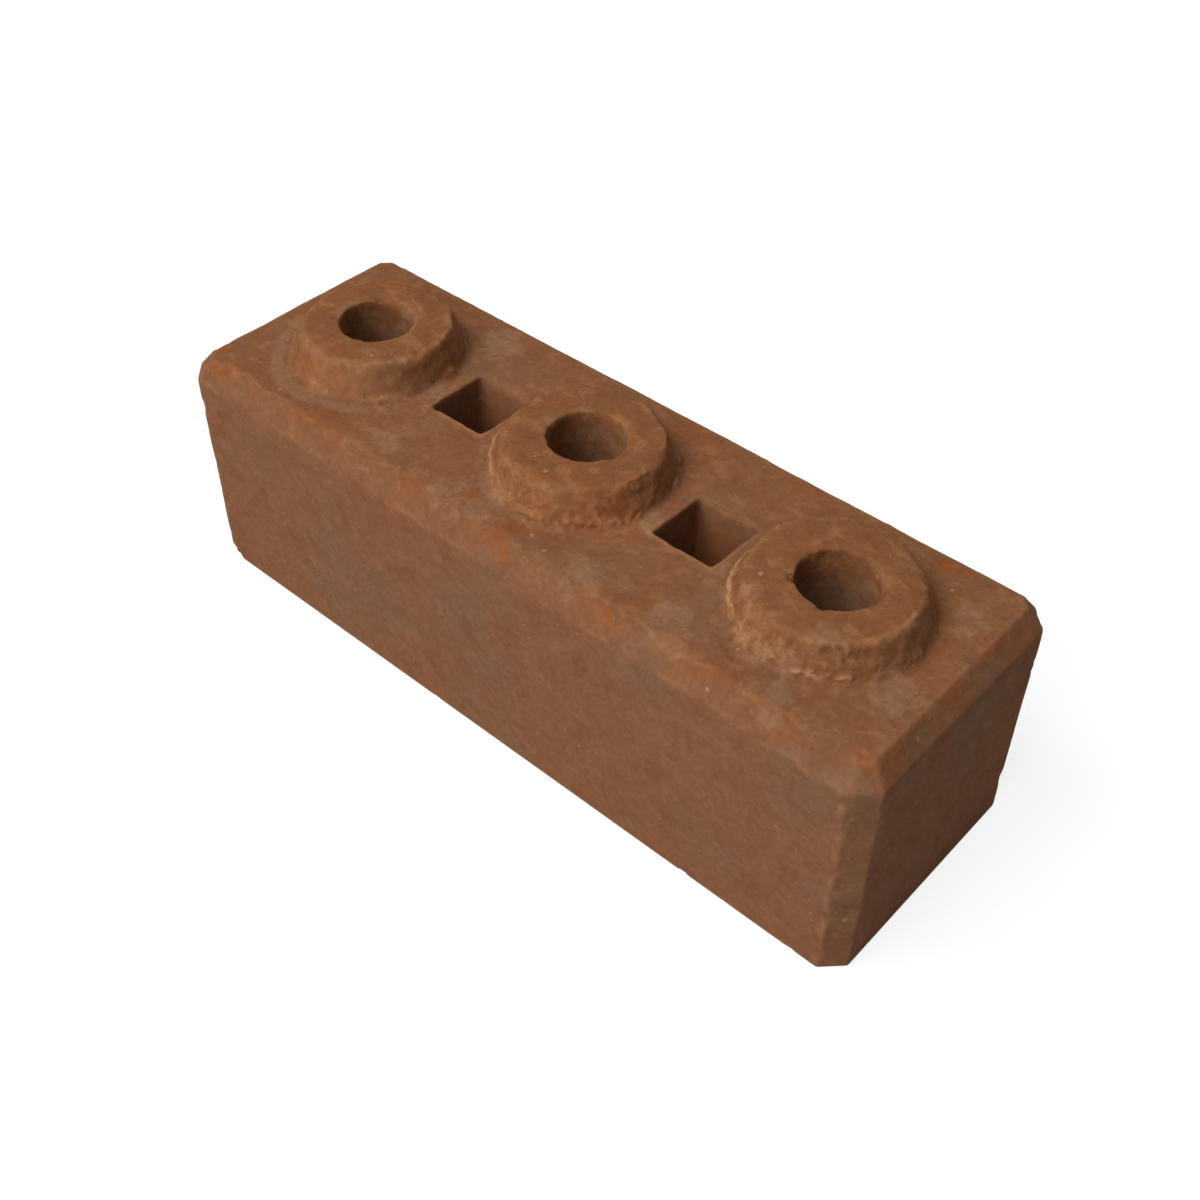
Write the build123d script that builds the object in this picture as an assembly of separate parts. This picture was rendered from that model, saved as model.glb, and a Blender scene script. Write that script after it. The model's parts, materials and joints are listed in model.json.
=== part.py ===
from build123d import *
import os

# Interlocking brick of fired clay, lying as it is laid in a wall.
# Origin: centre of the bed, on the floor. +X along the brick, +Y across it, +Z up.
# All sizes are in millimetres.

# Module: the brick is as long as three of its own widths, with one boss to each third,
# so that courses overlap by a third and a brick turned on its end meets the same bosses.
brick_length = 300.0
boss_count = 3
module = brick_length / boss_count
brick_width = module

# Body
course_height = 92.0
corner_chamfer = 7.0
shoulder_run = 6.0
shoulder_drop = 7.2

# Bosses on the top face, each a short truncated cone
boss_base_radius = 32.0
boss_top_radius = 27.6
boss_height = 13.0
boss_rim_rounding = 2.0
boss_root_fillet = 1.2

# Sockets in the bed, which sit over the bosses of the course below
laying_clearance = 1.0
socket_lip_chamfer = 1.0

# Round bore through each boss, for a reinforcing bar and its grout
bore_radius = 13.0
bore_lip_chamfer = 0.8

# Square duct between each two bosses
duct_side = 24.0
duct_corner_radius = 1.5

# Values worked out from the sizes above
total_height = course_height + boss_height
socket_depth = boss_height + laying_clearance
socket_mouth_radius = boss_base_radius + laying_clearance
socket_ceiling_radius = boss_top_radius + laying_clearance


def centred_row(count, pitch):
    """Places along X, evenly spaced about the middle of the brick."""
    return [((index - (count - 1) / 2) * pitch, 0.0) for index in range(count)]


boss_places = centred_row(boss_count, module)
duct_places = centred_row(boss_count - 1, module)


def make_body():
    """The block: chamfered upright corners, then a shoulder chamfer round the top face."""
    with BuildPart() as body:
        with BuildSketch():
            outline = Rectangle(brick_length, brick_width)
            chamfer(outline.vertices(), corner_chamfer)
        extrude(amount=course_height)
        top_face = body.faces().sort_by(Axis.Z)[-1]
        chamfer(top_face.edges(), shoulder_run, shoulder_drop, reference=top_face)
    return body.part


def circles_of(shape, radius, height):
    """The circular edges of one radius that lie at one height."""
    circles = shape.edges().filter_by(GeomType.CIRCLE)
    return [circle for circle in circles
            if abs(circle.radius - radius) < 0.001 and abs(circle.arc_center.Z - height) < 0.001]


def make_brick():
    """The body with its bosses, sockets, bores and ducts, as one moulded piece."""
    with BuildPart() as brick:
        add(make_body())

        # Bosses rise from the top face
        with Locations(*[(x, y, course_height + boss_height / 2) for x, y in boss_places]):
            Cone(boss_base_radius, boss_top_radius, boss_height)
        fillet(circles_of(brick, boss_top_radius, total_height), boss_rim_rounding)
        fillet(circles_of(brick, boss_base_radius, course_height), boss_root_fillet)

        # Sockets take the same cone from the bed, larger all round by the laying clearance
        with Locations(*[(x, y, socket_depth / 2) for x, y in boss_places]):
            Cone(socket_mouth_radius, socket_ceiling_radius, socket_depth, mode=Mode.SUBTRACT)
        chamfer(circles_of(brick, socket_mouth_radius, 0), socket_lip_chamfer)

        # Bores run from the ceiling of each socket up through its boss
        with Locations(*[(x, y, total_height / 2) for x, y in boss_places]):
            Cylinder(bore_radius, total_height, mode=Mode.SUBTRACT)
        chamfer(circles_of(brick, bore_radius, total_height), bore_lip_chamfer)

        # Ducts run straight through between the bosses
        with BuildSketch():
            with Locations(*duct_places):
                RectangleRounded(duct_side, duct_side, duct_corner_radius)
        extrude(amount=course_height, mode=Mode.SUBTRACT)
    return brick.part


brick = make_brick()

os.makedirs("parts", exist_ok=True)
export_step(brick, "parts/interlocking_brick.step")
box = brick.bounding_box()
print("brick", box.size.X, box.size.Y, box.size.Z, "mm, volume", brick.volume, "mm3")
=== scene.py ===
"""Looks of an interlocking brick of fired clay: its worn form, its clay, and a plain pale studio."""

import json
import logging
import math
from dataclasses import dataclass
from enum import Enum

import bmesh
import bpy
import numpy as np
from mathutils import Matrix, Vector, noise

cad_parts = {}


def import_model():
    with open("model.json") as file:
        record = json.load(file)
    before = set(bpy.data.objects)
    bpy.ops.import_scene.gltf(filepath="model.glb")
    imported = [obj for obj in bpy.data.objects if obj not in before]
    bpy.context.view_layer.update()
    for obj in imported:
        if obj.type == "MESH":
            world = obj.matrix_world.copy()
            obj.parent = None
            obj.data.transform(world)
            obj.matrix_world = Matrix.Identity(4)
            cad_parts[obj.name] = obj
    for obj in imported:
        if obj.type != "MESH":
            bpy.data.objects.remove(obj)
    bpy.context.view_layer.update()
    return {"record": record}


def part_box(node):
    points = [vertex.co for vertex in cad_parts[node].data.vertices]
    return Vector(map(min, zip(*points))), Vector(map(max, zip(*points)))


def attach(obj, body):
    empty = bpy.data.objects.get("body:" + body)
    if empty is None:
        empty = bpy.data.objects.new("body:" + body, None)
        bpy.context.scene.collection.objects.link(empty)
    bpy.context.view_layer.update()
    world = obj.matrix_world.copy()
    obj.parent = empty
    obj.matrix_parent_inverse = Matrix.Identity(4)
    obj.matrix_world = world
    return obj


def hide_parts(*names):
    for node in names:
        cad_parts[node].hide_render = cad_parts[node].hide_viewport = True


log = logging.getLogger("brick")

MM = 0.001
NODE = "interlocking_brick"

Socket = bpy.types.NodeSocket


def smooth_step(low: float, high: float, value: np.ndarray) -> np.ndarray:
    """Ease each value from 0 at low to 1 at high, which may be below low."""
    t = np.clip((value - low) / (high - low), 0.0, 1.0)
    return t * t * (3.0 - 2.0 * t)


def bell(centre: float, half_width: float, value: np.ndarray) -> np.ndarray:
    """A soft bump over the values: 1 at centre, 0 from half_width to either side of it."""
    return smooth_step(half_width, 0.0, np.abs(value - centre))


@dataclass(frozen=True)
class Grain:
    """A seeded solid noise, in millimetres."""

    scale: float
    seed: float
    octaves: int = 2
    stretch: tuple[float, float, float] = (1.0, 1.0, 1.0)

    def at(self, points: np.ndarray) -> np.ndarray:
        """Noise at each point, roughly from -1 to 1."""
        shifted = points / (self.scale * np.array(self.stretch)) + self.seed
        return np.array([noise.fractal(Vector(p), 1.0, 2.0, self.octaves) for p in shifted.tolist()])


@dataclass(frozen=True)
class BrickSizes:
    """The brick's sizes in millimetres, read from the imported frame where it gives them."""

    length: float
    width: float
    course: float
    total: float
    pitch: float
    bore_radius: float
    corner_chamfer: float = 7.0
    shoulder_run: float = 6.0
    shoulder_drop: float = 7.2
    boss_base_radius: float = 32.0
    boss_top_radius: float = 27.6
    duct_side: float = 24.0
    laying_clearance: float = 1.0

    @classmethod
    def from_record(cls, record: dict) -> "BrickSizes":
        """Read the sizes from the CAD box and the record's mounts.

        Args:
            record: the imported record.

        Returns:
            The sizes.
        """
        low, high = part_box(NODE)
        span = (high - low) / MM
        mounts = {mount["name"]: mount for mount in record["mounts"]}
        pitch = mounts["right_bore"]["pos_m"][0] - mounts["middle_bore"]["pos_m"][0]
        return cls(
            length=span.x,
            width=span.y,
            course=mounts["top_face"]["pos_m"][2] / MM,
            total=span.z,
            pitch=pitch / MM,
            bore_radius=mounts["middle_bore"]["dims"]["r_mm"],
        )

    @property
    def boss_height(self) -> float:
        """How far a boss stands above the top face."""
        return self.total - self.course

    @property
    def boss_places(self) -> tuple[float, ...]:
        """Where the bosses stand along the brick."""
        return (-self.pitch, 0.0, self.pitch)

    @property
    def duct_places(self) -> tuple[float, ...]:
        """Where the square ducts run, halfway between the bosses."""
        return (-self.pitch / 2, self.pitch / 2)


def new_object(bm: bmesh.types.BMesh, name: str) -> bpy.types.Object:
    """Turn a bmesh into an object in the scene.

    Args:
        bm: the bmesh, which is freed.
        name: the name of the object and its mesh.

    Returns:
        The object.
    """
    mesh = bpy.data.meshes.new(name)
    bm.to_mesh(mesh)
    bm.free()
    made = bpy.data.objects.new(name, mesh)
    bpy.context.scene.collection.objects.link(made)
    return made


def apply_modifiers(piece: bpy.types.Object) -> None:
    """Make a piece's modifiers part of its mesh.

    Args:
        piece: the object to change.
    """
    graph = bpy.context.evaluated_depsgraph_get()
    graph.update()
    old = piece.data
    mesh = bpy.data.meshes.new_from_object(piece.evaluated_get(graph), preserve_all_data_layers=True,
                                           depsgraph=graph)
    piece.modifiers.clear()
    piece.data = mesh
    bpy.data.meshes.remove(old)


@dataclass
class MouldedForm:
    """The brick as the mould leaves it, built in millimetres before any wear."""

    sizes: BrickSizes
    circle_segments: int = 96
    overshoot: float = 3.0

    def block(self) -> bpy.types.Object:
        """The body, with chamfered upright corners and a shoulder chamfer round its top.

        Returns:
            A closed mesh object.
        """
        s = self.sizes
        bm = bmesh.new()
        bmesh.ops.create_cube(bm, size=1.0)
        bmesh.ops.scale(bm, vec=(s.length, s.width, s.course), verts=bm.verts)
        bmesh.ops.translate(bm, vec=(0, 0, s.course / 2), verts=bm.verts)
        uprights = [e for e in bm.edges if abs(e.verts[0].co.z - e.verts[1].co.z) > s.course / 2]
        bmesh.ops.bevel(bm, geom=uprights, offset=s.corner_chamfer, offset_type="OFFSET",
                        affect="EDGES", segments=1, profile=0.5, material=-1)
        bm.normal_update()
        top = [f for f in bm.faces if f.normal.z > 0.9]
        bmesh.ops.inset_region(bm, faces=top, thickness=s.shoulder_run, use_even_offset=True)
        inner = {v for f in top for v in f.verts}
        shoulder = [v for v in bm.verts if v.co.z > s.course / 2 and v not in inner]
        bmesh.ops.translate(bm, vec=(0, 0, -s.shoulder_drop), verts=shoulder)
        return self._piece(bm, "block")

    def cones(self, name: str, foot: float, head: float, low: float, high: float) -> bpy.types.Object:
        """A row of closed truncated cones, one at each boss.

        Args:
            name: the object's name.
            foot: radius at the low end.
            head: radius at the high end.
            low: height of the low end.
            high: height of the high end.

        Returns:
            One mesh object.
        """
        bm = bmesh.new()
        for x in self.sizes.boss_places:
            bmesh.ops.create_cone(bm, cap_ends=True, segments=self.circle_segments, radius1=foot,
                                  radius2=head, depth=high - low,
                                  matrix=Matrix.Translation((x, 0, (low + high) / 2)))
        return self._piece(bm, name)

    def duct_bars(self) -> bpy.types.Object:
        """Square bars that run past both faces, where the ducts are cut.

        Returns:
            One mesh object.
        """
        s = self.sizes
        bm = bmesh.new()
        for x in s.duct_places:
            bar = bmesh.ops.create_cube(bm, size=1.0)["verts"]
            bmesh.ops.scale(bm, vec=(s.duct_side, s.duct_side, s.course + 2 * self.overshoot), verts=bar)
            bmesh.ops.translate(bm, vec=(x, 0, s.course / 2), verts=bar)
        return self._piece(bm, "ducts")

    def _piece(self, bm: bmesh.types.BMesh, name: str) -> bpy.types.Object:
        """Turn a closed bmesh into an object, with its faces outwards."""
        bmesh.ops.recalc_face_normals(bm, faces=bm.faces)
        return new_object(bm, name)

    def build(self) -> bpy.types.Object:
        """Join the block and its bosses, and cut the sockets, bores and ducts.

        Returns:
            One closed mesh object, in millimetres.
        """
        s = self.sizes
        body = self.block()
        sunk = self.overshoot
        taper = (s.boss_base_radius - s.boss_top_radius) / s.boss_height
        depth = s.boss_height + s.laying_clearance
        mouth = s.boss_base_radius + s.laying_clearance
        ceiling = s.boss_top_radius + s.laying_clearance
        flare = (mouth - ceiling) / depth
        steps = (
            (self.cones("bosses", s.boss_base_radius + taper * sunk, s.boss_top_radius,
                        s.course - sunk, s.total), "UNION"),
            (self.cones("sockets", mouth + flare * sunk, ceiling, -sunk, depth), "DIFFERENCE"),
            (self.cones("bores", s.bore_radius, s.bore_radius, -sunk, s.total + sunk), "DIFFERENCE"),
            (self.duct_bars(), "DIFFERENCE"),
        )
        for tool, operation in steps:
            cut = body.modifiers.new(tool.name, "BOOLEAN")
            cut.object = tool
            cut.operation = operation
            cut.solver = "EXACT"
            apply_modifiers(body)
            bpy.data.objects.remove(tool)
        return body


@dataclass
class Skin:
    """The brick's skin as arrays, in millimetres: its points, their normals, and its edges."""

    points: np.ndarray
    normals: np.ndarray
    edges: np.ndarray

    @classmethod
    def of(cls, mesh: bpy.types.Mesh) -> "Skin":
        """Read a mesh.

        Args:
            mesh: the mesh, in millimetres.

        Returns:
            Its skin.
        """
        points = np.zeros(len(mesh.vertices) * 3)
        edges = np.zeros(len(mesh.edges) * 2, dtype=np.int64)
        mesh.vertices.foreach_get("co", points)
        mesh.edges.foreach_get("vertices", edges)
        skin = cls(points.reshape(-1, 3), points.reshape(-1, 3), edges.reshape(-1, 2))
        skin.write(mesh)
        return skin

    def write(self, mesh: bpy.types.Mesh) -> None:
        """Put the points back in the mesh, and read its normals again.

        Args:
            mesh: the mesh that the skin was read from.
        """
        mesh.vertices.foreach_set("co", self.points.ravel())
        mesh.update()
        normals = np.zeros(len(self.points) * 3)
        mesh.vertices.foreach_get("normal", normals)
        self.normals = normals.reshape(-1, 3)

    def eased(self, values: np.ndarray, rounds: int) -> np.ndarray:
        """Ease values along the skin, each half way to the mean of its neighbours.

        Args:
            values: one row for each point.
            rounds: how many times.

        Returns:
            The eased rows.
        """
        one, other = self.edges.T
        count = len(values)
        share = (np.bincount(one, minlength=count) + np.bincount(other, minlength=count))[:, None]
        for _ in range(rounds):
            total = np.stack([np.bincount(one, column[other], count) + np.bincount(other, column[one], count)
                              for column in values.T], axis=1)
            values = values + 0.5 * (total / share - values)
        return values


@dataclass(frozen=True)
class Crumbs:
    """Seeded loose crumbs, at most one in each cell of an uneven grid."""

    spacing: float
    seed: float
    share: float

    def at(self, points: np.ndarray) -> np.ndarray:
        """How much crumb there is at each point.

        Args:
            points: an array of points in millimetres.

        Returns:
            One value for each point, 0 clear of a crumb and 1 at its middle.
        """
        heights = np.zeros(len(points))
        for row, spot in enumerate((points / self.spacing + self.seed).tolist()):
            place = Vector(spot)
            gaps, centres = noise.voronoi(place + 0.30 * noise.noise_vector(place * 2.3))
            luck = 0.5 + 0.5 * noise.noise(centres[0] * 9.7)
            if luck < self.share:
                heights[row] = max(0.0, 1.0 - gaps[0] / (0.3 + 0.35 * luck))
        return heights * (2.0 - heights)


@dataclass(frozen=True)
class Spot:
    """A place on the brick, in millimetres, with how far it reaches and how strong it is there."""

    place: tuple[float, float, float]
    reach: float
    strength: float

    def at(self, points: np.ndarray) -> np.ndarray:
        """How strong the spot is at each point, from 0 to its strength."""
        away = np.linalg.norm(points - np.array(self.place), axis=1)
        return self.strength * smooth_step(self.reach, self.reach * 0.3, away)


def spots(*rows: tuple[float, float, float, float, float]) -> tuple[Spot, ...]:
    """Spots from rows of x, y, z, reach and strength."""
    return tuple(Spot(row[:3], *row[3:]) for row in rows)


class Mark(Enum):
    """What the skin carries for its finish, as one attribute each."""

    SCUFF_AND_HIGHLIGHT = "scuff_and_highlight"
    PAINTED_SHADE = "painted_shade"
    CRUMBLE = "crumble"
    LIP_AND_HIGHLIGHT = "lip"
    RUST = "rust"
    ASH = "ash"
    GRIT_AND_PAINTED_LIGHT = "grit"
    TOP = "top"


@dataclass(frozen=True)
class BossView:
    """Where each point lies as its nearest boss sees it.

    Angles are in degrees: 0 faces the right end, 90 the back, -90 the front, -180 the left end.
    """

    radius: np.ndarray
    angle: np.ndarray
    rise: np.ndarray
    torn: np.ndarray

    @classmethod
    def of(cls, points: np.ndarray, sizes: BrickSizes, tearing: tuple[float, ...]) -> "BossView":
        """Measure the points from the bosses' axes.

        Args:
            points: an array of points in millimetres.
            sizes: the brick's sizes.
            tearing: how torn each boss is, from left to right.

        Returns:
            The view.
        """
        across = points[:, 1]
        along = np.stack([points[:, 0] - x for x in sizes.boss_places])
        nearest = np.argmin(np.abs(along), axis=0)
        along = along[nearest, np.arange(len(points))]
        return cls(np.hypot(along, across), np.degrees(np.arctan2(across, along)),
                   points[:, 2] - sizes.course, np.array(tearing)[nearest])

    def facing(self, angle: float, half_width: float) -> np.ndarray:
        """1 on the side that faces an angle, 0 from half_width to either side of it."""
        return bell(0.0, half_width, (self.angle - angle + 180.0) % 360.0 - 180.0)

    def squeezed(self, squeeze: float = 0.3) -> np.ndarray:
        """Map the points on a squeezed cylinder, so that a grain read there runs in strokes.

        Args:
            squeeze: how much of their height they keep.

        Returns:
            The points, with each boss's well apart from the others'.
        """
        radius, apart = 30.0, 40.0
        turn = np.radians(self.angle)
        height = squeeze * self.rise + apart * self.torn
        return np.stack([radius * np.cos(turn), radius * np.sin(turn), height], axis=1)


@dataclass
class Wear:
    """What moulding, firing and handling do to the sharp form."""

    sizes: BrickSizes
    voxel: float = 0.7
    triangles: int = 192_000
    light_rounds: int = 4
    heavy_rounds: int = 76
    lost_rounds: int = 50
    proud_rounds: int = 12
    undercut_depth: float = 0.80
    lip_height: float = 0.62
    roll_depth: float = 0.26
    chip_roughness: float = 0.5
    stain_wander: float = 7.0
    tearing: tuple[float, ...] = (0.2, 0.6, 1.0)
    bore_leans: tuple[tuple[float, float], ...] = ((0.5, -0.2), (0.9, 0.7), (1.6, 0.0))
    duct_leans: tuple[tuple[float, float], ...] = ((0.7, 1.7), (0.5, 2.2))
    chips: tuple[Spot, ...] = spots(
        (-143, -50, 0, 6, 1.6), (148, 47, 88, 9, 0.5), (91.4, -8.4, 105, 2.8, 1.3),
        (104.5, -12.6, 105, 2.2, 0.7), (-28, 5, 103, 12, 0.7), (26.5, -5, 104, 10, 0.6),
        (-96, 27, 104, 10, 0.9), (-3, 13, 105, 3.2, 0.6), (-112, -8, 105, 3, 0.5),
        (150, -46, 30, 5, 0.8), (-90, 50, 86, 6, 0.7), (40, 50, 2, 5, 1),
        (-149, 20, 3, 5, 0.8),
    )
    rust: tuple[Spot, ...] = spots(
        (-135, -47, 92, 8, 1.3), (-140, -36, 92, 6, 1.2), (-88, -45, 92, 12, 0.7),
        (4, -47, 92, 12, 1), (-36, -48, 88, 14, 0.5), (50, -47, 90, 16, 0.5),
        (84, -48, 89, 14, 0.6), (118, -47, 90, 16, 0.5), (147, -38, 89, 15, 1.1),
        (149, -12, 88, 22, 0.6), (149, 28, 88, 16, 0.6), (18, 44, 92, 12, 0.7),
        (62, 44, 92, 12, 0.7), (112, 40, 92, 10, 0.9), (-52, 30, 92, 14, 0.5),
        (-106, -30, 95, 14, 0.9), (6, -31, 97, 15, 1), (-20, -38, 92, 12, 0.4),
        (100, -50, 40, 34, 0.25), (-92, -29, 98, 14, 0.8), (127, -12, 98, 15, 0.9),
        (25, -16, 98, 17, 1.2), (-50, 13, 73, 18, 1.1), (50, 13, 73, 18, 1.1),
        (-38, 0, 73, 16, 1.1), (62, 0, 73, 16, 1.1),
    )
    ash: tuple[Spot, ...] = spots(
        (-70, 30, 92, 13, 1), (-95, 15, 105, 9, 0.5), (-126, -20, 92, 8, 0.7),
        (109, -38, 92, 15, 0.9), (136, 22, 92, 10, 0.9), (134, -18, 92, 13, 1.1),
        (-60, -36, 92, 16, 0.8), (-28, -38, 92, 12, 0.8), (36, -38, 92, 14, 0.9),
        (68, -36, 92, 14, 0.9), (88, -20, 105, 10, 0.8), (112, -22, 105, 9, 0.7),
        (-14, -38, 92, 13, 0.8), (-65, -6, 92, 8, 1), (-60, -17, 92, 7, 0.8),
        (34, -8, 92, 8, 1.2), (30, -19, 92, 7, 1), (64, -6, 92, 6, 1),
        (-100, 0, 78, 34, 1.2), (0, 0, 78, 34, 1.2), (100, 0, 78, 34, 1.2),
        (147, -47, 20, 16, 0.4), (147, -47, 45, 16, 0.4), (147, -47, 70, 16, 0.4),
    )

    def wear_down(self, piece: bpy.types.Object) -> None:
        """Remesh the piece evenly, wear it, mark it, thin it, and put it in metres.

        Args:
            piece: the sharp form, in millimetres.
        """
        remesh = piece.modifiers.new("even", "REMESH")
        remesh.mode = "VOXEL"
        remesh.voxel_size = self.voxel
        apply_modifiers(piece)
        mesh = piece.data
        skin = Skin.of(mesh)
        log.info("remeshed to %d points", len(skin.points))
        self.lean_cores(skin)
        self.soften(skin, mesh)
        # The second row also carries painted light, and the third is painted shade under the rims.
        crumble, grit, under = self.tear_bosses(skin)
        lip = self.raise_lips(skin)
        self.roll_faces(skin)
        self.break_chips(skin)
        skin.write(mesh)
        self.mark(skin, mesh, {Mark.CRUMBLE: crumble, Mark.GRIT_AND_PAINTED_LIGHT: grit, Mark.LIP_AND_HIGHLIGHT: lip, Mark.PAINTED_SHADE: under})
        self.thin(piece)
        piece.data.transform(Matrix.Scale(MM, 4))

    def from_duct(self, points: np.ndarray) -> np.ndarray:
        """How far each point is from its nearest duct's leaned axis, square to the walls."""
        return np.min([np.maximum(np.abs(points[:, 0] - x - lean[0]), np.abs(points[:, 1] - lean[1]))
                       for x, lean in zip(self.sizes.duct_places, self.duct_leans)], axis=0)

    def lean_cores(self, skin: Skin) -> None:
        """Lean the bores and ducts from their seats, more towards the top, as the mould's cores lean.

        Args:
            skin: the skin to change.
        """
        s = self.sizes
        p = skin.points
        climb = smooth_step(s.boss_height, s.total, p[:, 2])
        moved = np.zeros_like(p)
        for x, lean in zip(s.boss_places, self.bore_leans):
            away = np.hypot(p[:, 0] - x, p[:, 1])
            near = climb * smooth_step(s.bore_radius + 7.0, s.bore_radius + 1.0, away)
            moved[:, :2] += near[:, None] * np.array(lean)
        for x, lean in zip(s.duct_places, self.duct_leans):
            square = np.maximum(np.abs(p[:, 0] - x), np.abs(p[:, 1]))
            near = climb * smooth_step(s.duct_side / 2 + 4.0, s.duct_side / 2 + 0.8, square)
            moved[:, :2] += near[:, None] * np.array(lean)
        skin.points = p + moved

    def soften(self, skin: Skin, mesh: bpy.types.Mesh) -> None:
        """Round every edge a little, and the worn stretches of them a lot.

        Args:
            skin: the skin to change.
            mesh: the mesh that it was read from.
        """
        s = self.sizes
        light = skin.eased(skin.points, self.light_rounds)
        heavy = skin.eased(light, self.heavy_rounds)
        lost = skin.eased(heavy, self.lost_rounds)
        p = skin.points
        x, y, z = p.T
        half_length, half_width, half_duct = s.length / 2, s.width / 2, s.duct_side / 2
        view = BossView.of(p, s, self.tearing)
        patch = Grain(11.0, 3.1).at(p) + 0.25 * Grain(3.0, 8.2).at(p)
        front = smooth_step(half_width - 12, half_width - 5, -y)
        back = smooth_step(half_width - 12, half_width - 5, y)
        end_side = smooth_step(half_length - 9, half_length - 3, np.abs(x))
        ends = smooth_step(half_length - 18, half_length - 9, np.abs(x))
        shoulder = bell(s.course - s.shoulder_drop / 2, 12.0, z)
        low = smooth_step(9.0, 3.0, z)
        # Rims wear most on the left, and the ducts' far edges more than their near ones
        rim = 0.58 + 0.60 * view.facing(-140.0, 120.0) + 0.20 * view.facing(105.0, 70.0)
        rim *= (view.rise > 7.0) * (view.radius > 20.0)
        rim += 0.60 * view.facing(50.0, 110.0) * (view.rise > 7.0) * (view.radius < 17.0)
        beside = np.min([np.abs(x - place) for place in s.duct_places], axis=0)
        far = bell(half_duct + 2.0, 4.0, y) * smooth_step(13.0, 8.0, beside)
        rim += far * (view.rise > -5.0)
        mouth = bell(half_duct, 4.0, self.from_duct(p)) * (np.abs(view.rise) < 6.0)
        rim -= 0.55 * (1.0 - far) * mouth
        lean = (0.75 + 0.35 * smooth_step(90.0, 20.0, x)) * front * shoulder * (1 - ends)
        lean -= 0.30 * back * shoulder
        lean += rim - 0.45 * low - 0.45 * end_side * shoulder
        worn = smooth_step(0.10, 0.90, patch + lean)[:, None]
        gone = (view.rise > 4.0) * (view.radius > 18.0) * view.facing(-155.0, 75.0)
        gone *= smooth_step(0.5, 1.1, patch + lean)
        skin.points = light + worn * (heavy - light) + gone[:, None] * (lost - heavy)
        skin.write(mesh)

    def tear_bosses(self, skin: Skin) -> np.ndarray:
        """Tear the bosses' sides and rims, as clay tears when it leaves the mould.

        Args:
            skin: the skin to change.

        Returns:
            Three rows from 0 to 1: how torn each point is, how much grit and painted light, and how much
                painted shade under a rim.
        """
        s = self.sizes
        whole = BossView.of(skin.points, s, self.tearing)
        side = smooth_step(0.2, 1.8, whole.rise)
        side *= smooth_step(s.boss_top_radius - 2.6, s.boss_top_radius - 0.6, whole.radius)
        near = np.flatnonzero(side > 0.01)
        p = skin.points[near]
        view = BossView.of(p, s, self.tearing)
        patch = 0.7 * Grain(12.0, 21.7).at(p) + 0.80 * view.facing(-100.0, 95.0) - 0.30
        patch = smooth_step(-0.05, 0.60, patch)
        torn = side[near] * (0.20 + 0.80 * patch) * view.torn
        clods = Grain(5.2, 5.3, stretch=(1.0, 1.0, 0.8)).at(p)
        low = smooth_step(10.5, 6.0, view.rise)
        strokes = low * smooth_step(0.05, 0.45, Grain(2.4, 31.0).at(view.squeezed()))
        scallops = smooth_step(-0.35, 0.25, Grain(3.4, 44.0).at(view.squeezed()))
        crumbs = (0.3 + 0.7 * low) * Crumbs(4.2, 7.7, 0.50).at(p)
        heap = Crumbs(3.8, 9.1, 0.75).at(p) * bell(2.2, 3.0, view.rise) * view.facing(-66.0, 85.0)
        heap *= view.torn * side[near]
        rim = bell(s.boss_height - 1.0, 3.2, view.rise)
        groove = bell(s.boss_height * 0.55, 4.5, view.rise) * view.facing(-150.0, 110.0)
        smears = smooth_step(0.12, 0.42, Grain(3.6, 61.0).at(view.squeezed(squeeze=0.5)))
        smears *= side[near] * view.facing(-112.0, 66.0) * smooth_step(0.5, 1.0, view.torn)
        undercut = bell(s.boss_height * 0.72, 3.6, view.rise) * view.facing(-48.0, 42.0) * view.torn ** 2
        undercut *= side[near] * (0.40 + 0.60 * scallops)
        # How far each point moves out, in millimetres
        out = torn * (0.45 * clods + 0.40 * strokes + 0.60 * crumbs - 0.34)
        added = 1.10 * heap + 0.30 * smears + side[near] * (0.20 * clods - 0.30 * groove)
        out += added - self.undercut_depth * undercut
        out += rim * side[near] * (0.30 * Grain(4.0, 33.0).at(p) + 0.05) * (0.2 + 0.8 * view.torn)
        fuller = bell(s.boss_height - 1.5, 5.0, view.rise) * view.facing(-20.0, 50.0)
        out += 1.1 * fuller * side[near] * view.torn ** 2
        skin.points[near] += skin.normals[near] * out[:, None]
        marks = np.zeros((3, len(side)))
        # Painted light: pale colour that brightens the bosses' sides towards the front and right, which the
        # lamps leave dim.
        painted_side_light = view.facing(-10.0, 54.0) * (0.70 * view.torn - 0.20 + 0.3 * clods)
        painted_side_light = side[near] * np.maximum(painted_side_light, 0.60 * view.facing(-60.0, 75.0) * (1.0 - view.torn))
        kinds = (1.2 * torn * crumbs, 1.4 * heap, 0.7 * torn * strokes, 0.6 * smears, painted_side_light)
        # The second row holds the real crumbs, heaps and strokes, and the painted light on the sides.
        loose = np.max(kinds, axis=0)
        loose *= 1.0 - 0.4 * bell(0.6, 0.3, view.torn)
        # The third row is painted shade: dark colour under the torn rims, where their overhang shades the
        # side.
        marks[:, near] = np.clip([torn, loose, 0.7 * undercut], 0, 1)
        return marks

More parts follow.
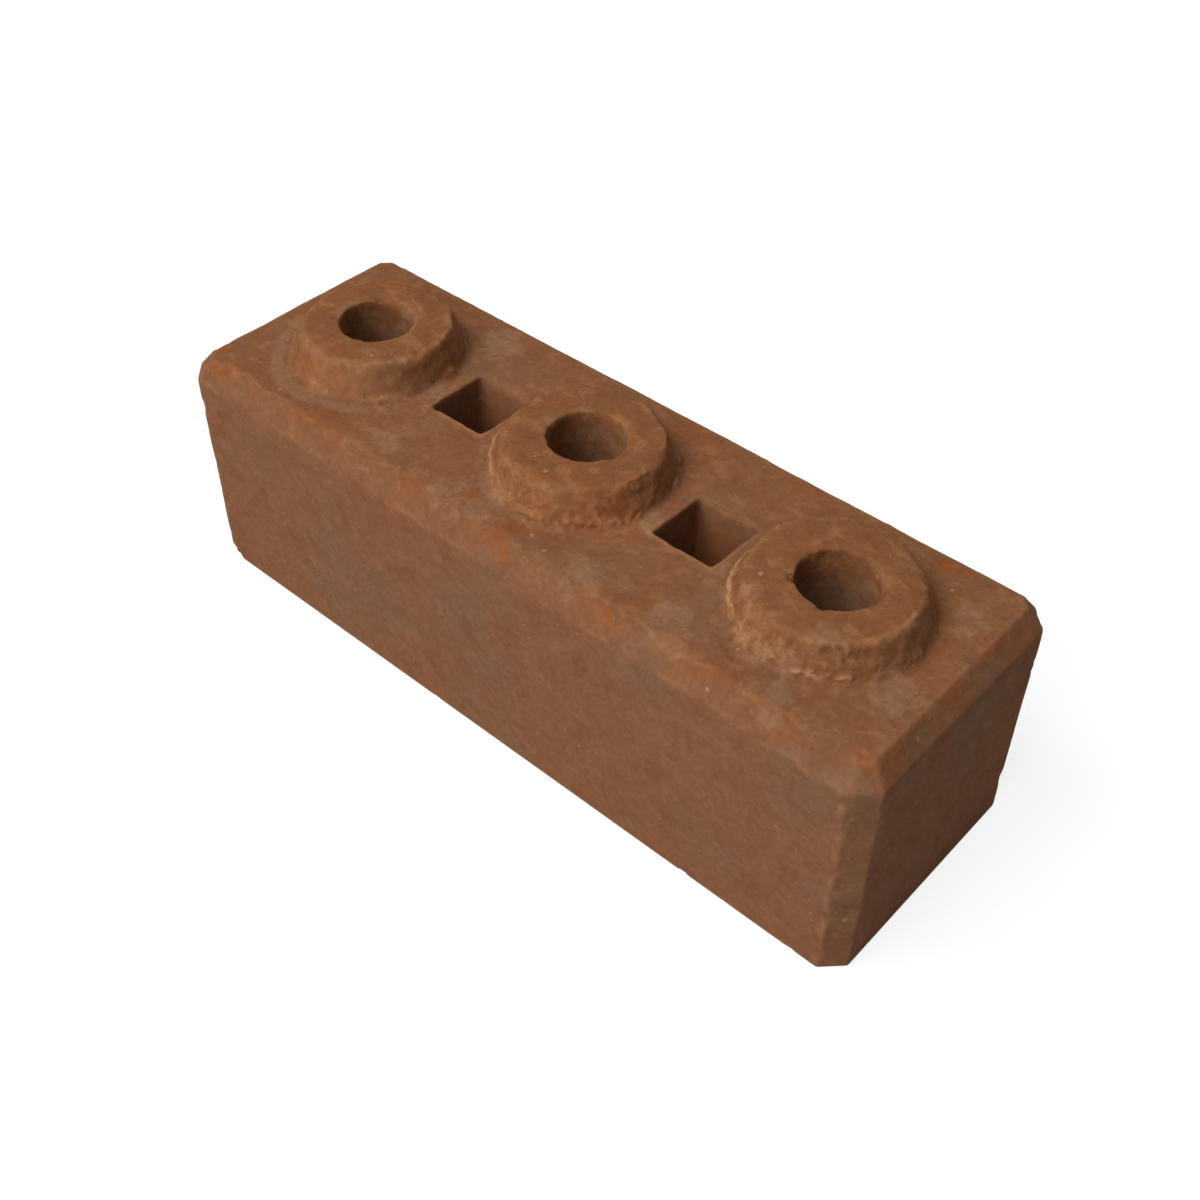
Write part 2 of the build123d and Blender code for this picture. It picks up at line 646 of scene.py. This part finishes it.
    def raise_lips(self, skin: Skin) -> np.ndarray:
        """Raise the thin burrs that the mould leaves round each boss's foot and each duct's mouth.

        Args:
            skin: the skin to change.

        Returns:
            How much lip each point has, from 0 to 1.
        """
        s = self.sizes
        p = skin.points
        view = BossView.of(p, s, self.tearing)
        left = view.facing(-150.0, 70.0)
        foot = bell(s.boss_base_radius - 0.3, 1.8, view.radius) * bell(1.0, 3.4, view.rise)
        foot *= 0.7 - 0.4 * left
        ridge = bell(3.9, 2.5, view.rise) * bell(s.boss_base_radius - 1.5, 3.0, view.radius)
        mouth = bell(s.duct_side / 2 + 0.9, 1.6, self.from_duct(p)) * bell(0.0, 1.4, view.rise)
        mouth *= 0.26 - 0.26 * smooth_step(4.0, 10.0, p[:, 1]) + 0.34 * smooth_step(-6.0, -10.0, p[:, 1])
        # The crest on the far rim is raised, and the lip mark paints it pale as a highlight.
        crest = bell(26.0, 1.8, view.radius) * (view.rise > 11.0) * view.facing(80.0, 60.0)
        crest *= 1.2 - view.torn
        burr = foot + mouth + 1.3 * ridge * left * (0.5 + 0.5 * view.torn) + 0.5 * crest
        near = np.flatnonzero(burr > 0.01)
        breaks = Grain(12.0, 14.4).at(p[near]) + 0.30 * Grain(2.6, 2.2).at(p[near])
        spread = smooth_step(-0.10, 0.40, breaks + 0.70 * left[near] + 0.90 * mouth[near] - 0.15)
        lip = np.zeros(len(p))
        lip[near] = burr[near] * spread
        outward = skin.normals + np.array((0.0, 0.0, 1.0))
        skin.points += outward * (self.lip_height * lip)[:, None]
        return np.clip(lip * 1.2, 0, 1)

    def roll_faces(self, skin: Skin) -> None:
        """Give the flat faces their slight roll and small dents.

        Args:
            skin: the skin to change.
        """
        s = self.sizes
        p = skin.points
        x, y, z = p.T
        bed = smooth_step(0.0, 5.0, z)
        roll = self.roll_depth * Grain(38.0, 40.2).at(p)
        top = smooth_step(s.course - 9, s.course - 2, z)
        roll += top * (0.10 * Grain(5.0, 11.1, 3).at(p) + 0.12 * Crumbs(9.0, 4.1, 0.45).at(p))
        corner = bell(s.length / 2 - s.corner_chamfer, 4.0, np.abs(x)) * bell(s.width / 2, 2.0, np.abs(y))
        roll += corner * np.where((x > 0) & (y < 0), 1.1, 0.15) * Grain(8.0, 23.3).at(p)
        skin.points += skin.normals * ((roll - 0.12) * bed)[:, None]

    def break_chips(self, skin: Skin) -> None:
        """Break away the chips.

        Args:
            skin: the skin to change.
        """
        for chip in self.chips:
            depth = chip.at(skin.points)
            near = np.flatnonzero(depth > 0)
            rough = 1.0 + self.chip_roughness * Grain(2.6, 17.5).at(skin.points[near])
            skin.points[near] -= skin.normals[near] * (depth[near] * rough)[:, None]

    def wandering(self, points: np.ndarray) -> np.ndarray:
        """The points moved about by noise near the top, so that round stains read there turn uneven.

        Args:
            points: an array of points in millimetres.

        Returns:
            The moved points.
        """
        moved = points.copy()
        high = np.flatnonzero(points[:, 2] > self.sizes.course - 20)
        for axis, seed in enumerate((51.0, 62.0, 73.0)):
            moved[high, axis] += self.stain_wander * Grain(9.0, seed).at(points[high])
        return moved

    def mark(self, skin: Skin, mesh: bpy.types.Mesh, marks: dict[Mark, np.ndarray]) -> None:
        """Write what the finish needs to know of each point.

        Args:
            skin: the worn skin.
            mesh: the mesh to mark.
            marks: the marks that are known already.
        """
        s = self.sizes
        p = skin.points
        view = BossView.of(p, s, self.tearing)
        from_duct = self.from_duct(p)
        proud = np.sum((p - skin.eased(p, self.proud_rounds)) * skin.normals, axis=1)
        # Paler colour on convex edges: partly worn edges, partly a painted edge highlight.
        scuff_and_highlight = 0.55 * smooth_step(0.03, 0.14, proud) + 0.45 * smooth_step(0.14, 0.45, proud)
        scuff_and_highlight *= 1.0 - 0.8 * smooth_step(s.bore_radius + 5.0, s.bore_radius + 2.0, view.radius)
        scuff_and_highlight *= 1.0 - 0.8 * smooth_step(s.duct_side / 2 + 3.0, s.duct_side / 2 + 1.0, from_duct)
        scuff_and_highlight *= 1.0 - 0.45 * smooth_step(7.0, 10.0, view.rise)
        foot = bell(s.boss_base_radius, 5.0, view.radius) * bell(1.0, 5.0, view.rise)
        open_air = (1.0 - 0.5 * foot) * (1.0 - 0.9 * (from_duct < s.duct_side / 2 + 2.0))
        open_air *= 1.0 - 0.6 * bell(29.0, 6.0, view.radius) * smooth_step(1.0, 4.0, view.rise)
        # Painted shade: dark colour in creases and recesses, where the skin sinks below its eased form,
        # weaker at the bosses' feet and sides and in the ducts.
        painted_shade = open_air * smooth_step(-0.05, -0.45, proud)
        moved = self.wandering(p)
        # The boss that hardly tore has a wide pale collar, and a painted highlight along its rim
        whole = smooth_step(0.6, 0.2, view.torn)
        collar = bell(34.0 + 2.0 * whole, 3.4 + 2.2 * whole, view.radius) * (np.abs(view.rise) < 2.5)
        collar *= view.facing(-105.0, 125.0)
        painted_rim_highlight = whole * bell(s.boss_top_radius - 1.4, 2.0, view.radius) * (view.rise > s.boss_height - 3.5)
        painted_rim_highlight *= 1.15 * view.facing(136.0, 66.0) + 0.75 * view.facing(-60.0, 120.0)
        traced = np.flatnonzero(painted_rim_highlight > 0.01)
        painted_rim_highlight[traced] *= smooth_step(-0.40, 0.20, Grain(6.0, 27.3).at(p[traced]))
        ash = [spot.at(moved) for spot in self.ash] + [collar * (1.7 - 1.0 * view.torn)]
        # Painted light: paler colour high on the bore walls that face the left lamps.
        lit = (view.radius < s.bore_radius + 2.0) * view.facing(15.0, 85.0)
        lit *= 0.55 * smooth_step(s.course - 4.0, s.total - 1.0, p[:, 2])
        marks |= {
            Mark.SCUFF_AND_HIGHLIGHT: scuff_and_highlight,
            Mark.PAINTED_SHADE: np.maximum(marks[Mark.PAINTED_SHADE], painted_shade),
            Mark.RUST: np.max([spot.at(moved) for spot in self.rust], axis=0),
            Mark.ASH: np.max(ash, axis=0),
            Mark.GRIT_AND_PAINTED_LIGHT: np.maximum(marks[Mark.GRIT_AND_PAINTED_LIGHT], lit),
            Mark.LIP_AND_HIGHLIGHT: np.maximum(marks[Mark.LIP_AND_HIGHLIGHT], painted_rim_highlight),
            Mark.TOP: 0.5 * smooth_step(-6.0, -1.0, view.rise) + 0.5 * smooth_step(1.0, 4.0, view.rise),
        }
        for kind, values in marks.items():
            attribute = mesh.attributes.new(kind.value, "FLOAT", "POINT")
            attribute.data.foreach_set("value", values.astype(np.float32))

    def thin(self, piece: bpy.types.Object) -> None:
        """Collapse the flattest triangles until the piece is light enough.

        Args:
            piece: the object to thin.
        """
        triangles = sum(len(f.vertices) - 2 for f in piece.data.polygons)
        collapse = piece.modifiers.new("thin", "DECIMATE")
        collapse.ratio = min(1.0, self.triangles / triangles)
        collapse.use_collapse_triangulate = True
        apply_modifiers(piece)
        log.info("thinned from %d to %d triangles", triangles, len(piece.data.polygons))


class Clay(Enum):
    """The clay's colours, as red, green and blue from 0 to 255."""

    BODY = (135, 93, 67)
    HEAD = (136, 88, 54)
    WARM = (138, 91, 62)
    RED = (146, 86, 55)
    OLIVE = (134, 97, 66)
    DEEP = (120, 77, 50)
    RUST = (152, 84, 43)
    ASH = (153, 116, 88)
    DRAB = (127, 97, 75)
    TAN = (170, 122, 82)
    # A pale tan, used for crumbs and grit and for painted light.
    DUST_AND_PAINTED_LIGHT = (172, 126, 89)
    PALE = (196, 156, 118)
    # A near-black brown, used for the painted shade in creases and under the rims, and for the dark iron
    # specks.
    DARK_SPECK_AND_SHADE = (80, 50, 33)

    @property
    def linear(self) -> tuple[float, float, float, float]:
        """The colour as the shader takes it."""
        channels = [c / 255 for c in self.value]
        return (*[c / 12.92 if c <= 0.04045 else ((c + 0.055) / 1.055) ** 2.4 for c in channels], 1.0)


@dataclass
class Sheet:
    """A material's node tree, with short ways to add the nodes that the finishes use."""

    tree: bpy.types.NodeTree

    @classmethod
    def new(cls, name: str) -> tuple[bpy.types.Material, "Sheet"]:
        """Start an empty material.

        Args:
            name: the material's name.

        Returns:
            The material and its sheet.
        """
        material = bpy.data.materials.new(name)
        material.use_nodes = True
        material.node_tree.nodes.clear()
        return material, cls(material.node_tree)

    def add(self, kind: str, **settings: object) -> bpy.types.Node:
        """Add a node and set its properties.

        Args:
            kind: the node's type.
            settings: property names and values.

        Returns:
            The node.
        """
        node = self.tree.nodes.new(kind)
        for name, value in settings.items():
            setattr(node, name, value)
        return node

    def join(self, source: object, socket: Socket) -> None:
        """Link an output to an input, or set the input to a plain value.

        Args:
            source: an output socket or a value.
            socket: the input.
        """
        if isinstance(source, Socket):
            self.tree.links.new(source, socket)
        else:
            socket.default_value = source

    def maths(self, operation: str, one: object, other: object = 0.0, third: object = 0.0) -> Socket:
        """A number worked out from others."""
        node = self.add("ShaderNodeMath", operation=operation)
        for source, socket in zip((one, other, third), node.inputs):
            self.join(source, socket)
        return node.outputs[0]

    def span(self, value: object, low: float, high: float, out_low: float = 0.0,
             out_high: float = 1.0) -> Socket:
        """Ease a value from one range to another."""
        node = self.add("ShaderNodeMapRange", interpolation_type="SMOOTHSTEP")
        self.join(value, node.inputs["Value"])
        for name, limit in (("From Min", low), ("From Max", high), ("To Min", out_low), ("To Max", out_high)):
            node.inputs[name].default_value = limit
        return node.outputs["Result"]

    def mix(self, share: object, one: object, other: object, blend: str = "MIX") -> Socket:
        """Mix two colours."""
        node = self.add("ShaderNodeMix", data_type="RGBA", blend_type=blend)
        colours = [socket for socket in node.inputs if socket.type == "RGBA"]
        self.join(share, node.inputs[0])
        self.join(one, colours[0])
        self.join(other, colours[1])
        return next(socket for socket in node.outputs if socket.type == "RGBA")

    def attribute(self, mark: Mark) -> Socket:
        """One of the skin's marks."""
        return self.add("ShaderNodeAttribute", attribute_name=mark.value).outputs["Fac"]

    def millimetres(self) -> Socket:
        """Object coordinates in millimetres."""
        place = self.add("ShaderNodeTexCoord").outputs["Object"]
        scale = self.add("ShaderNodeVectorMath", operation="SCALE")
        self.join(place, scale.inputs[0])
        self.join(1 / MM, scale.inputs["Scale"])
        return scale.outputs[0]

    def cloud(self, place: Socket, size: float, seed: float, detail: float = 3.0,
              roughness: float = 0.55, distortion: float = 0.0,
              stretch: tuple[float, float, float] = (1.0, 1.0, 1.0)) -> Socket:
        """Noise of a given size in millimetres, from 0 to 1."""
        shift = self.add("ShaderNodeMapping")
        self.join(place, shift.inputs["Vector"])
        shift.inputs["Location"].default_value = (seed, seed * 1.7, -seed)
        shift.inputs["Scale"].default_value = tuple(1 / (size * s) for s in stretch)
        node = self.add("ShaderNodeTexNoise")
        self.join(shift.outputs[0], node.inputs["Vector"])
        settings = {"Scale": 1.0, "Detail": detail, "Roughness": roughness, "Distortion": distortion}
        for name, value in settings.items():
            node.inputs[name].default_value = value
        return node.outputs["Fac"]

    def jolted(self, place: Socket, size: float, amount: float) -> Socket:
        """The place moved about by noise, in millimetres, so that shapes drawn with it turn ragged."""
        shift = self.add("ShaderNodeTexNoise")
        self.join(place, shift.inputs["Vector"])
        shift.inputs["Scale"].default_value = 1 / size
        shift.inputs["Detail"].default_value = 1.0
        centred = self.add("ShaderNodeVectorMath", operation="SUBTRACT")
        self.join(shift.outputs["Color"], centred.inputs[0])
        centred.inputs[1].default_value = (0.5, 0.5, 0.5)
        moved = self.add("ShaderNodeVectorMath", operation="MULTIPLY_ADD")
        self.join(centred.outputs[0], moved.inputs[0])
        moved.inputs[1].default_value = (amount, amount, amount)
        self.join(place, moved.inputs[2])
        return moved.outputs[0]

    def specks(self, place: Socket, spacing: float, radius: float, share: float, seed: float) -> Socket:
        """Small round specks in some cells of a scattered grid, from 0 to 1."""
        shift = self.add("ShaderNodeMapping")
        self.join(place, shift.inputs["Vector"])
        shift.inputs["Location"].default_value = (seed, -seed, seed * 0.6)
        shift.inputs["Scale"].default_value = (1 / spacing,) * 3
        cells = self.add("ShaderNodeTexVoronoi", feature="F1")
        self.join(shift.outputs[0], cells.inputs["Vector"])
        cells.inputs["Scale"].default_value = 1.0
        split = self.add("ShaderNodeSeparateColor")
        self.join(cells.outputs["Color"], split.inputs[0])
        chosen = self.span(split.outputs[0], 1 - share, 1 - share * 0.8)
        size = self.span(split.outputs[1], 0.0, 1.0, 0.4, 1.0)
        edge = self.maths("DIVIDE", cells.outputs["Distance"], self.maths("MULTIPLY", size, radius / spacing))
        return self.maths("MULTIPLY", chosen, self.span(edge, 1.0, 0.6))

    def stain(self, colour: Socket, mask: object, share: object, clay: Clay) -> Socket:
        """Lay one of the clay's colours over another colour, where a mask says."""
        return self.mix(self.maths("MULTIPLY", mask, share), colour, clay.linear)


@dataclass(frozen=True)
class FiredClay:
    """Brown fired clay with rust, ash and tan dust, rough and open-grained, with painted shade in its creases
    and painted light on some sides, edges and rims.
    """

    roughness: float = 0.88
    specular: float = 0.04
    grain_height: float = 0.10
    sand_height: float = 0.26
    pore_depth: float = 0.16
    grit_height: float = 0.07

    def material(self) -> bpy.types.Material:
        """Make the finish.

        Returns:
            The material.
        """
        clay, sheet = Sheet.new("fired_clay")
        place = sheet.millimetres()
        shader = sheet.add("ShaderNodeBsdfPrincipled")
        sheet.join(self.colour(sheet, place), shader.inputs["Base Color"])
        patch = sheet.cloud(place, 9.0, 4.4)
        rough = sheet.span(patch, 0.3, 0.7, self.roughness - 0.08, self.roughness + 0.08)
        sheet.join(rough, shader.inputs["Roughness"])
        shader.inputs["Specular IOR Level"].default_value = self.specular
        sheet.join(self.relief(sheet, place), shader.inputs["Normal"])
        out = sheet.add("ShaderNodeOutputMaterial")
        sheet.join(shader.outputs[0], out.inputs[0])
        return clay

    def colour(self, sheet: Sheet, place: Socket) -> Socket:
        """The clay's colour.

        Args:
            sheet: the material's nodes.
            place: coordinates in millimetres.

        Returns:
            The colour socket.
        """
        top = sheet.attribute(Mark.TOP)
        wide = sheet.cloud(place, 48.0, 1.3, 2.0)
        middle = sheet.cloud(place, 10.0, 7.1, 4.0, 0.62, 0.5)
        fine = sheet.cloud(place, 2.2, 3.7, 3.0, 0.6)
        colour = sheet.mix(sheet.span(wide, 0.4, 0.6, 0.0, 0.45), Clay.BODY.linear, Clay.WARM.linear)
        colour = sheet.mix(sheet.span(wide, 0.47, 0.34, 0.0, 0.48), colour, Clay.DRAB.linear)
        colour = sheet.stain(colour, top, 0.9, Clay.HEAD)
        colour = sheet.mix(sheet.span(middle, 0.45, 0.75, 0.0, 0.55), colour, Clay.DEEP.linear)
        reddish = sheet.cloud(place, 13.0, 21.4, 3.0, 0.6, 0.6)
        upper = sheet.span(top, 0.0, 0.5, 0.18, 1.0)
        redder = sheet.maths("MULTIPLY", upper, sheet.span(reddish, 0.50, 0.66, 0.0, 0.45))
        colour = sheet.mix(redder, colour, Clay.RED.linear)
        greener = sheet.maths("MULTIPLY", upper, sheet.span(reddish, 0.46, 0.32, 0.0, 0.50))
        colour = sheet.mix(greener, colour, Clay.OLIVE.linear)
        broken = sheet.cloud(place, 5.0, 2.9, 5.0, 0.72, 0.8)
        rust = self.patchy(sheet, sheet.attribute(Mark.RUST), broken, 0.62, 0.18)
        colour = sheet.stain(colour, rust, 0.50, Clay.RUST)
        smear = sheet.cloud(place, 6.5, 9.2, 5.0, 0.70, 1.0)
        ash = self.patchy(sheet, sheet.attribute(Mark.ASH), smear, 0.60, 0.20)
        colour = sheet.stain(colour, ash, 0.50, Clay.ASH)
        dragged = sheet.cloud(place, 6.0, 15.2, 3.0, 0.58, 0.4, (1.3, 1.0, 1.0))
        reach = sheet.maths("MULTIPLY_ADD", top, 0.24, 0.12)
        dust = sheet.maths("MULTIPLY", sheet.span(dragged, 0.52, 0.66), reach)
        colour = sheet.mix(dust, colour, Clay.TAN.linear)
        burnt = sheet.maths("MULTIPLY", sheet.span(dragged, 0.45, 0.34), reach)
        colour = sheet.mix(burnt, colour, Clay.DEEP.linear)
        crumbs = sheet.span(fine, 0.42, 0.62, 0.0, 0.40)
        colour = sheet.stain(colour, sheet.attribute(Mark.CRUMBLE), crumbs, Clay.DUST_AND_PAINTED_LIGHT)
        # This mark holds loose grit, and painted light on the bosses' dim sides and the bores' upper walls.
        grit = sheet.attribute(Mark.GRIT_AND_PAINTED_LIGHT)
        colour = sheet.stain(colour, grit, 0.60, Clay.DUST_AND_PAINTED_LIGHT)
        colour = sheet.mix(sheet.span(grit, 0.55, 1.0, 0.0, 0.40), colour, Clay.PALE.linear)
        # Pale tan on convex edges: partly wear, partly a painted edge highlight.
        colour = sheet.stain(colour, sheet.attribute(Mark.SCUFF_AND_HIGHLIGHT), 0.38, Clay.TAN)
        # The lip mark holds the pale burrs and the painted highlights on the rims.
        burr = sheet.attribute(Mark.LIP_AND_HIGHLIGHT)
        colour = sheet.stain(colour, burr, 0.70, Clay.TAN)
        colour = sheet.mix(sheet.span(burr, 0.6, 1.0, 0.0, 0.35), colour, Clay.PALE.linear)
        # Painted shade: darken towards near-black brown in creases and under the boss rims.
        colour = sheet.stain(colour, sheet.attribute(Mark.PAINTED_SHADE), 0.50, Clay.DARK_SPECK_AND_SHADE)
        ragged = sheet.jolted(place, 0.9, 0.8)
        lime = sheet.specks(ragged, 8.0, 1.1, 0.35, 5.5)
        colour = sheet.stain(colour, lime, 0.42, Clay.PALE)
        sand = sheet.specks(ragged, 2.3, 0.45, 0.45, 1.5)
        colour = sheet.stain(colour, sand, 0.50, Clay.TAN)
        iron = sheet.specks(ragged, 3.7, 0.55, 0.40, 12.5)
        colour = sheet.stain(colour, iron, 0.45, Clay.DARK_SPECK_AND_SHADE)
        shade = sheet.span(fine, 0.2, 0.8, 0.88, 1.08)
        tint = sheet.add("ShaderNodeCombineColor")
        for socket in tint.inputs[:3]:
            sheet.join(shade, socket)
        return sheet.mix(1.0, colour, tint.outputs[0], "MULTIPLY")

    def patchy(self, sheet: Sheet, mark: Socket, cloud: Socket, edge: float, softness: float) -> Socket:
        """A mark broken up by noise: it begins to show at edge, and softness later shows in full."""
        both = sheet.maths("MULTIPLY_ADD", mark, 0.30, cloud)
        return sheet.span(both, edge, edge + softness)

    def relief(self, sheet: Sheet, place: Socket) -> Socket:
        """The clay's grain, too fine for the mesh.

        Args:
            sheet: the material's nodes.
            place: coordinates in millimetres.

        Returns:
            The normal socket.
        """
        grain = sheet.cloud(place, 0.9, 6.6, 3.0, 0.6)
        sand = sheet.cloud(place, 3.2, 2.2, 3.0, 0.55)
        pores = sheet.specks(place, 3.4, 0.50, 0.45, 8.8)
        grit = sheet.specks(place, 2.3, 0.40, 0.45, 1.5)
        height = sheet.maths("MULTIPLY", sand, self.sand_height)
        for mask, rise in ((grain, self.grain_height), (pores, -self.pore_depth), (grit, self.grit_height)):
            height = sheet.maths("MULTIPLY_ADD", mask, rise, height)
        upper = sheet.span(sheet.attribute(Mark.TOP), 0.0, 0.5, 0.55, 1.0)
        height = sheet.maths("MULTIPLY", height, upper)
        bump = sheet.add("ShaderNodeBump")
        bump.inputs["Strength"].default_value = 1.0
        bump.inputs["Distance"].default_value = MM
        sheet.join(height, bump.inputs["Height"])
        return bump.outputs[0]


@dataclass
class Brick:
    """The one piece: a brick of pressed and fired clay."""

    sizes: BrickSizes
    finish: FiredClay = FiredClay()

    def build(self) -> bpy.types.Object:
        """Make the worn brick and dress it.

        Returns:
            The finished object, in metres.
        """
        piece = MouldedForm(self.sizes).build()
        Wear(self.sizes).wear_down(piece)
        piece.name = "brick"
        piece.data.name = "brick"
        piece.data.materials.clear()
        piece.data.materials.append(self.finish.material())
        for face in piece.data.polygons:
            face.use_smooth = True
        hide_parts(NODE)
        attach(piece, "root")
        log.info("brick: %d triangles", len(piece.data.polygons))
        return piece


@dataclass(frozen=True)
class Lamp:
    """A soft square lamp that looks at the brick, as bright there as its level says, where 1 is plain."""

    name: str
    direction: tuple[float, float, float]
    level: float
    distance: float = 2.5
    size: float = 1.2

    def light(self, target: Vector) -> None:
        """Hang the lamp.

        Args:
            target: the point that it looks at.
        """
        data = bpy.data.lights.new(self.name, "AREA")
        data.shape = "SQUARE"
        data.size = self.size
        data.energy = self.level * math.pi ** 2 * self.distance ** 2
        lamp = bpy.data.objects.new(self.name, data)
        lamp.location = target + Vector(self.direction).normalized() * self.distance
        lamp.rotation_euler = (target - lamp.location).to_track_quat("-Z", "Y").to_euler()
        bpy.context.scene.collection.objects.link(lamp)


@dataclass(frozen=True)
class Viewpoint:
    """The photograph's viewpoint, found from the brick's edges."""

    place: tuple[float, float, float] = (0.26691, -0.29276, 0.41058)
    azimuth: float = 41.492
    elevation: float = 43.792
    roll: float = 0.520
    lens: float = 45.889
    sensor: float = 36.0

    def camera(self) -> bpy.types.Object:
        """Set the camera.

        Returns:
            The camera object.
        """
        turn, rise, roll = (math.radians(a) for a in (self.azimuth, self.elevation, self.roll))
        back = Vector((math.sin(turn) * math.cos(rise), -math.cos(turn) * math.cos(rise), math.sin(rise)))
        right = (-back).cross(Vector((0, 0, 1))).normalized()
        up = right.cross(-back)
        right, up = right * math.cos(roll) + up * math.sin(roll), up * math.cos(roll) - right * math.sin(roll)
        data = bpy.data.cameras.new("camera")
        data.sensor_fit = "HORIZONTAL"
        data.sensor_width = self.sensor
        data.lens = self.lens
        data.clip_start = 0.01
        camera = bpy.data.objects.new("camera", data)
        bpy.context.scene.collection.objects.link(camera)
        pose = Matrix((right, up, back)).transposed().to_4x4()
        pose.translation = Vector(self.place)
        camera.matrix_world = pose
        bpy.context.scene.camera = camera
        return camera


@dataclass
class Studio:
    """A plain pale floor, a white surround and soft lamps."""

    floor_size: float = 12.0
    floor_glow: float = 0.80
    floor_seen: float = 0.30
    floor_bounce: float = 0.60
    ambient: float = 0.03
    lit_point: tuple[float, float, float] = (0.0, 0.0, 0.05)
    lamps: tuple[Lamp, ...] = (
        Lamp("key_left", (-0.354, -0.354, 0.866), 0.42),
        Lamp("key_middle", (0.0, -0.5, 0.866), 0.22),
        Lamp("key_right", (0.354, -0.354, 0.866), 0.09),
        Lamp("front_high", (0.0, -0.809, 0.588), 0.28),
        Lamp("front_low", (0.0, -0.978, 0.208), 0.15),
        Lamp("back", (0.0, 0.809, 0.588), 0.17),
    )

    def set_up(self) -> None:
        """Make the floor, the surround and the lamps."""
        self.floor()
        self.surround()
        for lamp in self.lamps:
            lamp.light(Vector(self.lit_point))
            log.info("lamp %s", lamp.name)

    def floor(self) -> None:
        """Lay the floor, white to the camera and pale grey to what it lights."""
        bm = bmesh.new()
        bmesh.ops.create_grid(bm, x_segments=1, y_segments=1, size=self.floor_size / 2)
        floor = new_object(bm, "floor")
        pale, sheet = Sheet.new("pale_floor")
        seen = sheet.add("ShaderNodeBsdfDiffuse")
        seen.inputs["Color"].default_value = (self.floor_seen,) * 3 + (1.0,)
        glow = sheet.add("ShaderNodeEmission")
        glow.inputs["Strength"].default_value = self.floor_glow
        both = sheet.add("ShaderNodeAddShader")
        sheet.join(seen.outputs[0], both.inputs[0])
        sheet.join(glow.outputs[0], both.inputs[1])
        bounce = sheet.add("ShaderNodeBsdfDiffuse")
        bounce.inputs["Color"].default_value = (self.floor_bounce,) * 3 + (1.0,)
        self.show(sheet, bounce.outputs[0], both.outputs[0], "ShaderNodeOutputMaterial")
        floor.data.materials.append(pale)
        log.info("floor")

    def surround(self) -> None:
        """White to the camera, dim to what it lights."""
        world = bpy.data.worlds.new("surround")
        bpy.context.scene.world = world
        world.use_nodes = True
        world.node_tree.nodes.clear()
        sheet = Sheet(world.node_tree)
        dim = sheet.add("ShaderNodeBackground")
        dim.inputs["Strength"].default_value = self.ambient
        white = sheet.add("ShaderNodeBackground")
        for shade in (dim, white):
            shade.inputs["Color"].default_value = (1.0, 1.0, 1.0, 1.0)
        self.show(sheet, dim.outputs[0], white.outputs[0], "ShaderNodeOutputWorld")

    def show(self, sheet: Sheet, unseen: Socket, seen: Socket, output: str) -> None:
        """Put out one shader where the camera looks, and the other for the light it gives."""
        choose = sheet.add("ShaderNodeMixShader")
        for source, socket in zip((self.looked_at(sheet), unseen, seen), choose.inputs):
            sheet.join(source, socket)
        sheet.join(choose.outputs[0], sheet.add(output).inputs[0])

    def looked_at(self, sheet: Sheet) -> Socket:
        """1 where the camera looks, straight or by a reflection."""
        path = sheet.add("ShaderNodeLightPath").outputs
        mirrored = sheet.maths("MAXIMUM", path["Is Glossy Ray"], path["Is Transmission Ray"])
        return sheet.maths("MAXIMUM", path["Is Camera Ray"], mirrored)


def main() -> None:
    """Build the scene."""
    logging.basicConfig(level=logging.INFO, format="%(name)s: %(message)s")
    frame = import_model()
    bpy.context.scene.view_settings.view_transform = "Standard"
    Viewpoint().camera()
    Studio().set_up()
    Brick(BrickSizes.from_record(frame["record"])).build()


if __name__ == "__main__":
    main()
